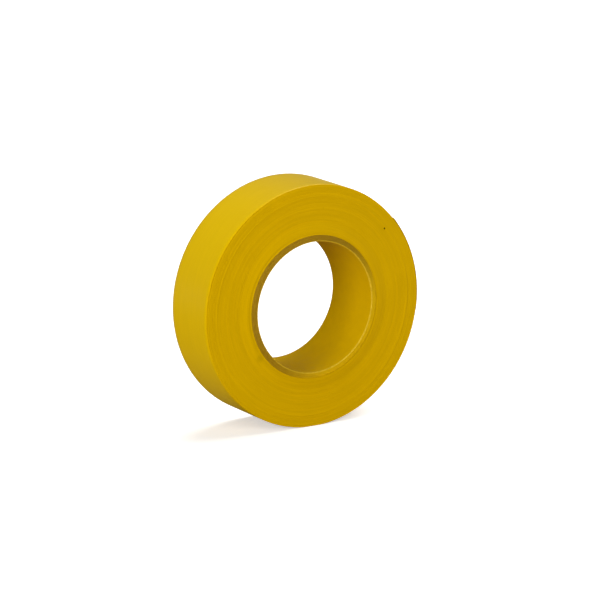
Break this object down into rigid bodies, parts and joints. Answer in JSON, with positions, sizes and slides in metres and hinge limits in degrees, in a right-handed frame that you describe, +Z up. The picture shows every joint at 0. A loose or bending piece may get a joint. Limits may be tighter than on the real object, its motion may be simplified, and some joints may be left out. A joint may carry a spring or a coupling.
{
  "type": "electrical tape roll",
  "caption": "Roll of yellow vinyl electrical tape wound on a paperboard core, standing on its tread, with a short free end that peels and curls open.",
  "frame": {"origin": "centre of the core's bore, midway between the roll's two sides", "axes": "+Y along the bore towards the side away from the viewer, +Z up when the roll stands on its tread, +X to the right seen from the front side, where the tape's free end lies"},
  "size_m": [0.0705, 0.0212, 0.0703],
  "materials": {
    "vinyl": "satin",
    "adhesive": "satin",
    "kraft": "matte",
    "printed_liner": "satin"
  },
  "bodies": {
    "roll": {"core_liner": "printed_liner", "core_ply_inner": "kraft", "core_ply_middle": "kraft", "core_ply_outer": "kraft", "first_turn": "vinyl", "tape_pack": "vinyl", "outer_turn": "vinyl"},
    "segment_1": {"lead_1": "vinyl", "lead_1_adhesive": "adhesive"},
    "segment_2": {"lead_2": "vinyl", "lead_2_adhesive": "adhesive"},
    "segment_3": {"lead_3": "vinyl", "lead_3_adhesive": "adhesive"},
    "segment_4": {"lead_4": "vinyl", "lead_4_adhesive": "adhesive"},
    "segment_5": {"lead_5": "vinyl", "lead_5_adhesive": "adhesive"},
    "segment_6": {"lead_6": "vinyl", "lead_6_adhesive": "adhesive"},
    "segment_7": {"lead_7": "vinyl", "lead_7_adhesive": "adhesive"},
    "segment_8": {"lead_8": "vinyl", "lead_8_adhesive": "adhesive"}
  },
  "joints": [
    {"name": "root_peel", "type": "hinge", "parent": "roll", "child": "segment_1", "pos_m": [0.03492, 0, -0.00532], "axis": [0, 1, 0], "range_deg": [0, 16]},
    {"name": "curl_2", "type": "hinge", "parent": "segment_1", "child": "segment_2", "pos_m": [0.03529, 0, -0.00159], "axis": [0, 1, 0], "range_deg": [0, 16]},
    {"name": "curl_3", "type": "hinge", "parent": "segment_2", "child": "segment_3", "pos_m": [0.03526, 0, 0.00216], "axis": [0, 1, 0], "range_deg": [0, 16]},
    {"name": "curl_4", "type": "hinge", "parent": "segment_3", "child": "segment_4", "pos_m": [0.03483, 0, 0.00589], "axis": [0, 1, 0], "range_deg": [0, 16]},
    {"name": "curl_5", "type": "hinge", "parent": "segment_4", "child": "segment_5", "pos_m": [0.03401, 0, 0.00954], "axis": [0, 1, 0], "range_deg": [0, 16]},
    {"name": "curl_6", "type": "hinge", "parent": "segment_5", "child": "segment_6", "pos_m": [0.03281, 0, 0.01309], "axis": [0, 1, 0], "range_deg": [0, 16]},
    {"name": "curl_7", "type": "hinge", "parent": "segment_6", "child": "segment_7", "pos_m": [0.03124, 0, 0.0165], "axis": [0, 1, 0], "range_deg": [0, 16]},
    {"name": "curl_8", "type": "hinge", "parent": "segment_7", "child": "segment_8", "pos_m": [0.02932, 0, 0.01971], "axis": [0, 1, 0], "range_deg": [0, 16]}
  ],
  "couplings": [
    {"joint": "curl_2", "follows": "root_peel", "ratio": 1},
    {"joint": "curl_3", "follows": "root_peel", "ratio": 1},
    {"joint": "curl_4", "follows": "root_peel", "ratio": 1},
    {"joint": "curl_5", "follows": "root_peel", "ratio": 1},
    {"joint": "curl_6", "follows": "root_peel", "ratio": 1},
    {"joint": "curl_7", "follows": "root_peel", "ratio": 1},
    {"joint": "curl_8", "follows": "root_peel", "ratio": 1}
  ]
}
